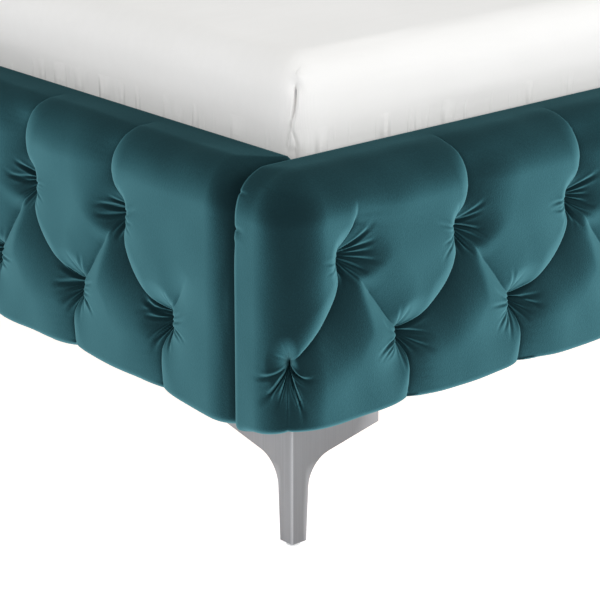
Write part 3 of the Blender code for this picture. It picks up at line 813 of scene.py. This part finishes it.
def shapePad(points, low, high, style):
    along, out = style["along"], style["out"]
    size = np.array([high[along] - low[along], high[out] - low[out], high[2] - low[2]])
    length, depth, height = size
    a = points[:, along] - low[along]
    d = points[:, out] - low[out] if style["faces"] < 0 else high[out] - points[:, out]
    h = points[:, 2] - low[2]
    fromEnd = np.minimum(a, length - a)
    onFront = d < touching
    onEnd = (fromEnd < touching) & ~onFront
    onTop = (h > height - touching) & ~onFront & ~onEnd
    onBottom = (h < touching) & ~onFront & ~onEnd
    onBack = (d > depth - touching) & ~onEnd & ~onTop & ~onBottom
    outer = onFront | onEnd | onTop | onBottom | onBack
    u = np.where(onEnd & style["wraps"], np.where(a < length / 2, -d, length + d), a)
    v = np.where(onTop, height + d, np.where(onBottom, -d, h))
    panel = layOut(length, style, height + tufting["topRun"])
    u1, v1 = gather(panel, u, v)
    calmU = np.where(onFront | onTop, smooth(0, 0.012, np.minimum(u, length - u)), 0.0)
    calmV = np.where(onFront, smooth(0, 0.012, np.minimum(v, height - v)), 0.0)
    u1, v1 = u + (u1 - u) * calmU, v + (v1 - v) * calmV
    inside, leanU = tuftDepth(panel, u1, v1)
    fine = creases(panel, u1, v1) + ripple(u1, v1, style["seed"], 0.10, 0.0006)
    # The tufting fades out towards the hidden sides
    fade = 1 - smooth(0.3 * depth, 0.85 * depth, np.where(onTop, d, 0.0))
    fade = fade * (1 - smooth(0.45 * depth, 0.90 * depth, np.where(onEnd, d, 0.0)))
    fade = fade * (1 - smooth(0.010, 0.030, np.where(onBottom, d, 0.0))) * ~onBack
    if not style["wraps"]:
        fade = fade * smooth(0.0, 0.020, fromEnd)
    box = np.stack([a + (u1 - u) + leanU * fade * (onFront | onTop), d, h + (v1 - v)], axis=1)
    box = np.clip(box, 0.0, size)
    base, normal = roundBox(box, np.zeros(3), size, padRadii(*box.T, size, style["wraps"]))
    if style["sag"]:
        base[:, 2] -= padSag(style, panel, u1, base, fromEnd)
    lower = smooth(0.35, 1.0, base[:, 1] / depth) * smooth(height - 0.020, height - 0.002, base[:, 2])
    base[:, 2] -= style["drop"] * lower * (onTop | onEnd | onBack)
    if style["wraps"]:
        seam = smooth(depth - 0.022, depth - 0.002, d) * onEnd
        for place, deep, wide in style["puckers"]:
            base[:, 0] += np.where(a < length / 2, 1, -1) * deep * bump(h - place * height, wide) * seam
    shaped = base + normal * ((fine - inside) * fade)[:, None]
    shaped = np.where(outer[:, None], shaped, np.stack([a, d, h], axis=1))
    result = points.copy()
    result[:, along] = low[along] + shaped[:, 0]
    result[:, out] = low[out] + shaped[:, 1] if style["faces"] < 0 else high[out] - shaped[:, 1]
    result[:, 2] = low[2] + shaped[:, 2]
    return result


# More points round the buttons, where the fine creases are
def refineButtons(bm, style, low, high):
    along, out = style["along"], style["out"]
    face = low[out] if style["faces"] < 0 else high[out]
    panel = layOut(high[along] - low[along], style, high[2] - low[2] + tufting["topRun"])
    front = [vert for vert in bm.verts if abs(vert.co[out] - face) < touching]
    places = [(vert.co[along] - low[along], vert.co[2] - low[2]) for vert in front]
    if style["wraps"]:
        for end, sign in ((low[along], -1), (high[along], 1)):
            side = [vert for vert in bm.verts if abs(vert.co[along] - end) < touching
                    and touching < abs(vert.co[out] - face) < tufting["fanReach"]]
            front += side
            places += [(end - low[along] + sign * abs(vert.co[out] - face), vert.co[2] - low[2])
                       for vert in side]
    places = np.array(places)
    gap = np.full(len(front), 1.0)
    for pit in panel["pits"]:
        gap = np.minimum(gap, np.hypot(places[:, 0] - pit["u"], places[:, 1] - pit["v"]))
    refine(bm, {vert for vert, size in zip(front, gap) if size < tufting["fanReach"]})


def makePad(style):
    low, high = corners(style["node"])
    lines, leftOut = padCells(style)
    out = style["out"]
    rear = high[out] if style["faces"] < 0 else low[out]

    def shown(face):
        center = face.calc_center_median()
        if abs(center[out] - rear) < touching:
            return False
        return any(abs(center[axis] - side[axis]) < touching for axis in range(3) for side in (low, high))

    bm = cellSolid(lines, leftOut, style["spacing"], shown)
    if style["refined"]:
        refineButtons(bm, style, low, high)
    mesh = toMesh(bm, style["name"])
    setCoordinates(mesh, shapePad(coordinates(mesh), low, high, style))
    piece = newPiece(style["name"], mesh, velvet, "frame", [style["node"]])
    print(style["name"], len(mesh.polygons))


for style in pads:
    makePad(style)


mattressStyle = {"round": 0.034, "topRound": 0.044, "bottomRound": 0.014, "clear": 0.0022, "quilt": 0.11,
                 "quiltDepth": 0.0030, "piping": 0.0032, "seam": 0.024}
sheetStyle = {"thickness": 0.0009, "crowd": 2.2, "spacing": 44, "along": 58, "rows": 50, "wrinkle": 0.0016,
              "topRound": 0.046, "bottomRound": 0.0001, "refined": 0.030, "gathers": 0.0042}


# Crowds evenly spaced places towards both ends of a span
def crowdEnds(value, low, high, power):
    half = (high - low) / 2
    part = 1 - np.abs(value - low - half) / half
    return low + half + np.sign(value - low - half) * half * (1 - np.clip(part, 0, 1) ** power)


# Distance from the nearest edge of the rectangle that two axes span
def edgeInset(points, low, high, axes):
    gaps = [gap for axis in axes for gap in (points[:, axis] - low[axis], high[axis] - points[:, axis])]
    return np.min(np.stack(gaps), axis=0)


# Radii of a padded box: one round its corners, and others for its upper and lower edges
def cushionRadii(points, middle, around, upper, lower):
    radii = np.full_like(points, around)
    radii[:, 2] = np.where(points[:, 2] > middle, upper, lower)
    return radii


def makeMattress():
    low, high = corners("mattress")
    clear = mattressStyle["clear"]
    low, high = low + [clear, clear, 0], high - clear
    spans = [[low[axis], high[axis]] for axis in range(3)]
    mesh = toMesh(cellSolid(spans, [], (0.018, 0.018, 0.006)), "mattress")
    points = coordinates(mesh)
    x, y, z = points.T
    flat = (z < low[2] + touching) | (z > high[2] - touching)
    radii = cushionRadii(points, (low[2] + high[2]) / 2, mattressStyle["round"], mattressStyle["topRound"],
                         mattressStyle["bottomRound"])
    base, normal = roundBox(points, low, high, radii)
    quilt = mattressStyle["quilt"]
    wave = np.abs(np.sin(pi * (x + y) / quilt) * np.sin(pi * (x - y) / quilt))
    inset = edgeInset(points, low, high, (0, 1))
    grooves = mattressStyle["quiltDepth"] * (1 - wave ** 0.45) * flat * smooth(0.02, 0.06, inset)
    seam = 0.0020 * bump(base[:, 2] - low[2] - mattressStyle["seam"], 0.0035) * ~flat
    setCoordinates(mesh, base - normal * (grooves + seam)[:, None])
    piece = newPiece("mattressBody", mesh, ticking, "bedding", ["mattress"])
    return low, high


# A round cord sewn along the lower edge of the mattress
def makePiping(low, high):
    curve = bpy.data.curves.new("pipingPath", "CURVE")
    curve.dimensions = "3D"
    curve.bevel_depth = mattressStyle["piping"] / 2
    curve.bevel_resolution = 3
    path = curve.splines.new("POLY")
    turn = mattressStyle["round"]
    middle, half = (low + high) / 2, (high - low) / 2 - turn
    places = []
    for sideX, sideY, start in ((1, 1, 0), (-1, 1, 90), (-1, -1, 180), (1, -1, 270)):
        for step in range(9):
            angle = radians(start + step * 90 / 8)
            places.append((middle[0] + sideX * half[0] + turn * cos(angle),
                           middle[1] + sideY * half[1] + turn * sin(angle), low[2] + mattressStyle["seam"]))
    path.points.add(len(places) - 1)
    for point, place in zip(path.points, places):
        point.co = (*place, 1.0)
    path.use_cyclic_u = True
    holder = bpy.data.objects.new("pipingHolder", curve)
    scene.collection.objects.link(holder)
    bpy.context.view_layer.update()
    mesh = bpy.data.meshes.new_from_object(holder.evaluated_get(bpy.context.evaluated_depsgraph_get()))
    mesh.name = "mattressPiping"
    bpy.data.objects.remove(holder)
    newPiece("mattressPiping", mesh, ticking, "bedding")


# How deep the cloth folds at a corner. The pleat ends in a small lip with a dimple below it.
pleatStyle = {"slit": 0.0060, "crease": 0.0024, "flap": 0.0026, "lip": 0.0028, "lipHeight": 0.0765,
              "dimple": 0.0030, "dimpleHeight": 0.066, "branch": 0.0022, "line": 0.0016, "branchLine": 0.0013}


# Pleat at a corner of the sheet: s runs round the corner from its diagonal, t is the height above the rails
def cornerPleat(s, t):
    deep = pleatStyle
    apart = s + 0.0095 * smooth(0.058, -0.010, t)
    line = bump(apart, deep["line"])
    under = 1 - smooth(0.060, 0.072, t)
    shown = smooth(-0.03, 0.0, t) * under
    slit = deep["slit"] * line * smooth(0.028, 0.046, t) * under
    crease = deep["crease"] * line * shown
    flap = deep["flap"] * np.exp(-np.abs(apart) / 0.012) * smooth(-0.0006, 0.0006, apart) * shown
    lip = deep["lip"] * bump(s - 0.005, 0.007) * bump(t - deep["lipHeight"], 0.0065)
    dimple = deep["dimple"] * bump(s, 0.006) * bump(t - deep["dimpleHeight"], 0.0075)
    second = s + 0.0060 - 0.0085 * smooth(0.034, -0.004, t)
    within = smooth(-0.012, 0.0, t) * (1 - smooth(0.024, 0.034, t))
    branch = deep["branch"] * bump(second, deep["branchLine"]) * within
    return flap + lip - slit - crease - dimple - branch


# Cuts the corners of the sheet finer above the rails, where the pleats are
def refineCorners(mesh, low, high, height):
    bm = bmesh.new()
    bm.from_mesh(mesh)
    refine(bm, {vert for vert in bm.verts if vert.co.z > height
                and max(min(vert.co[axis] - low[axis], high[axis] - vert.co[axis]) for axis in (0, 1))
                < sheetStyle["refined"]})
    bm.to_mesh(mesh)
    bm.free()


def makeSheet():
    low, high = corners("fitted_sheet")
    middle = (low + high) / 2
    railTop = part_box("foot_rail_pad")[1].z
    counts = (2 * sheetStyle["spacing"], 2 * sheetStyle["along"], sheetStyle["rows"])
    spacing = [(high[axis] - low[axis]) / counts[axis] for axis in range(3)]
    bm = cellSolid([[low[axis], high[axis]] for axis in range(3)], [], spacing)
    under = [face for face in bm.faces if face.calc_center_median().z < low[2] + touching]
    bmesh.ops.delete(bm, geom=under, context="FACES")
    mesh = toMesh(bm, "fittedSheet")
    points = coordinates(mesh)
    for axis in (0, 1):
        points[:, axis] = crowdEnds(points[:, axis], low[axis], high[axis], sheetStyle["crowd"])
    setCoordinates(mesh, points)
    refineCorners(mesh, low, high, railTop - 0.012)
    points = coordinates(mesh)
    turn = mattressStyle["round"]
    radii = cushionRadii(points, middle[2], turn, sheetStyle["topRound"], sheetStyle["bottomRound"])
    base, normal = roundBox(points, low, high, radii)
    t = base[:, 2] - railTop
    top = smooth(high[2] - 0.004, high[2] - 0.0005, base[:, 2])
    free = smooth(0.004, 0.030, t)
    side = np.where(np.abs(normal[:, 0]) > np.abs(normal[:, 1]), base[:, 1], base[:, 0])
    swell = ripple(base[:, 0], base[:, 1], 5, 0.55, 0.0012) * top
    full = ripple(side, t, 8, 0.22, sheetStyle["wrinkle"]) + 0.0022 * np.sin(pi * np.clip(t / 0.1, 0, 1))
    swell += full * free * (1 - top)
    quarter = turn * pi / 4
    for signX in (-1, 1):
        for signY in (-1, 1):
            signs = np.array([signX, signY])
            corner = middle[:2] + signs * (high[:2] - middle[:2] - turn)
            awayX, awayY = ((base[:, :2] - corner) * signs).T
            turned = (pi / 4 - np.arctan2(awayY, awayX)) * turn
            s = np.where(awayX < 0, awayX - quarter, np.where(awayY < 0, quarter - awayY, turned))
            here = (np.hypot(awayX, awayY) < 0.09) & (np.maximum(awayX, awayY) > 0.020)
            swell += cornerPleat(-signX * signY * s, t) * here * (1 - 0.6 * top)
    swell *= smooth(-0.004, 0.006, t)
    gathers = 0.0009 * np.sin(side / sheetStyle["gathers"]) * bump(base[:, 2] - low[2], 0.012)
    setCoordinates(mesh, base + normal * (swell + gathers)[:, None])
    bm = bmesh.new()
    bm.from_mesh(mesh)
    bmesh.ops.solidify(bm, geom=bm.faces, thickness=sheetStyle["thickness"])
    bmesh.ops.recalc_face_normals(bm, faces=bm.faces)
    bm.to_mesh(mesh)
    bm.free()
    piece = newPiece("fittedSheetCover", mesh, cotton, "bedding", ["fitted_sheet"])
    print("sheet", len(mesh.polygons))


makePiping(*makeMattress())
makeSheet()

liningStyle = {"hem": 0.018, "hemRise": 0.0009, "sheet": 0.0016, "behind": 0.0032, "stapleGap": 0.055,
               "staple": (0.011, 0.0012, 0.0011)}


def makeBackLining():
    low, high = corners("headboard_back_cover")
    front = high[1] - liningStyle["behind"]
    hem = liningStyle["hem"]
    bm = cellSolid([[low[0], high[0]], [front, front + liningStyle["sheet"]], [low[2], high[2]]], [],
                   (0.009, 0.01, 0.009))
    mesh = toMesh(bm, "backLining")
    points = coordinates(mesh)
    inset = edgeInset(points, low, high, (0, 2))
    slack = ripple(points[:, 0], points[:, 2], 17, 0.35, 0.0007) * smooth(0.02, 0.10, inset)
    rise = liningStyle["hemRise"] * (1 - smooth(hem, hem + 0.006, inset))
    outside = points[:, 1] > front + liningStyle["sheet"] / 2
    points[:, 1] += np.clip(slack, -0.0008, 0.0010) + rise * outside
    points[:, 1] = np.minimum(points[:, 1], high[1])
    setCoordinates(mesh, points)
    piece = newPiece("headboardBackLining", mesh, liningCloth, "frame", ["headboard_back_cover"])
    makeStaples(low, high)


# Staples round the hem of the back lining
def makeStaples(low, high):
    bm = bmesh.new()
    size = Vector(liningStyle["staple"])
    edge = liningStyle["hem"] * 0.55
    count, tall = (int((high[axis] - low[axis]) / liningStyle["stapleGap"]) for axis in (0, 2))
    places = [(low[0] + (step + 0.5) * (high[0] - low[0]) / count, z, False) for step in range(count)
              for z in (low[2] + edge, high[2] - edge)]
    places += [(x, low[2] + (step + 0.5) * (high[2] - low[2]) / tall, True) for step in range(tall)
               for x in (low[0] + edge, high[0] - edge)]
    for x, z, turned in places:
        addBlock(bm, Vector((size.z, size.y, size.x)) if turned else size, Vector((x, high[1] - 0.0003, z)))
    newPiece("liningStaples", toMesh(bm, "liningStaples"), zinc, "frame")


makeBackLining()

legStyle = {"edge": 0.0014, "sharp": 30, "flat": 0.5}


# The pressed steel leg, with its sharp edges eased
def makeLeg(name, title):
    bm = bmesh.new()
    bm.from_mesh(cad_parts[name].data)
    bmesh.ops.remove_doubles(bm, verts=bm.verts, dist=merging)
    bmesh.ops.dissolve_limit(bm, angle_limit=radians(legStyle["flat"]), verts=bm.verts, edges=bm.edges)
    sharp = [edge for edge in bm.edges
             if len(edge.link_faces) == 2 and edge.calc_face_angle() > radians(legStyle["sharp"])]
    bmesh.ops.bevel(bm, geom=sharp, offset=legStyle["edge"], offset_type="OFFSET", segments=2, profile=0.5,
                    affect="EDGES", material=-1, clamp_overlap=True)
    bmesh.ops.recalc_face_normals(bm, faces=bm.faces)
    mesh = toMesh(bm, title)
    newPiece(title, mesh, brushedSteel, "frame", [name])
    mesh.set_sharp_from_angle(angle=radians(32))


for end in ("foot", "head"):
    for side in ("left", "right"):
        makeLeg("leg_" + end + "_" + side, "leg" + end.capitalize() + side.capitalize())
print("legs ready")


# A pale glowing surface of the surroundings
def makePale(bm, name, fixed, tones, broad, fine):
    piece = bpy.data.objects.new(name, toMesh(bm, name))
    scene.collection.objects.link(piece)
    material, tree, shader, place = startMaterial("pale" + name.capitalize(), fixed)
    marks = useGroup(tree, mottle, place["Object"], Broad=broad, Fine=fine)
    join(tree, rampValue(tree, marks["Patches"], [(0.2, (tones[0],) * 3), (0.8, (tones[1],) * 3)]), shader)
    piece.data.materials.append(material)
    return piece


# A pale dome far behind everything. Only the camera sees it, and it gives no light.
def makeBackdrop():
    bm = bmesh.new()
    bmesh.ops.create_uvsphere(bm, u_segments=48, v_segments=24, radius=58.0)
    bmesh.ops.reverse_faces(bm, faces=bm.faces)
    fixed = {"Roughness": 1.0, "Specular IOR Level": 0.0, "Emission Color": (1.0, 1.0, 1.0, 1.0),
             "Emission Strength": 1.0}
    dome = makePale(bm, "backdrop", fixed, (0.78, 0.82), 0.05, 1.0)
    dome.visible_diffuse = dome.visible_glossy = dome.visible_shadow = dome.visible_transmission = False


def makeStage():
    bm = bmesh.new()
    bmesh.ops.create_grid(bm, x_segments=1, y_segments=1, size=60.0)
    fixed = {"Roughness": 0.9, "Specular IOR Level": 0.1, "Emission Color": (0.98, 1.0, 1.06, 1.0),
             "Emission Strength": 0.70}
    makePale(bm, "floor", fixed, (0.80, 0.84), 0.8, 40.0)
    makeBackdrop()
    world = bpy.data.worlds.new("studio")
    world.use_nodes = True
    background = world.node_tree.nodes["Background"]
    background.inputs["Color"].default_value = (1.0, 1.0, 1.0, 1.0)
    background.inputs["Strength"].default_value = 0.46
    scene.world = world
    scene.view_settings.view_transform = "Standard"


def softLight(name, place, target, size, power):
    data = bpy.data.lights.new(name, "AREA")
    data.shape = "RECTANGLE"
    data.size, data.size_y = size
    data.energy = power
    lamp = bpy.data.objects.new(name, data)
    lamp.location = place
    lamp.rotation_euler = (Vector(target) - Vector(place)).to_track_quat("-Z", "Y").to_euler()
    scene.collection.objects.link(lamp)


view = {"azimuth": -40.8, "elevation": 18.95, "distance": 2.488, "target": (0.0103, -0.0089, 0.3095),
        "lens": 147.1}


# The camera looks at the foot end's left corner
def makeCamera():
    corner = Vector((cadLow.x, cadLow.y, 0.0))
    target = corner + Vector(view["target"])
    azimuth, elevation = radians(view["azimuth"]), radians(view["elevation"])
    back = Vector((sin(azimuth) * cos(elevation), -cos(azimuth) * cos(elevation), sin(elevation)))
    data = bpy.data.cameras.new("camera")
    data.lens = view["lens"]
    camera = bpy.data.objects.new("camera", data)
    camera.location = target + back * view["distance"]
    camera.rotation_euler = (-back).to_track_quat("-Z", "Y").to_euler()
    scene.collection.objects.link(camera)
    scene.camera = camera


makeStage()
softLight("windowRight", (0.9, -5.4, 2.2), (-0.2, -0.8, 0.3), (3.2, 2.4), 150.0)
softLight("windowLeft", (-5.0, -0.8, 2.6), (-0.6, -0.4, 0.3), (3.0, 2.4), 58.0)
softLight("overhead", (0.0, 0.0, 4.2), (0.0, 0.0, 0.0), (4.0, 4.0), 62.0)
makeCamera()
print("stage ready")
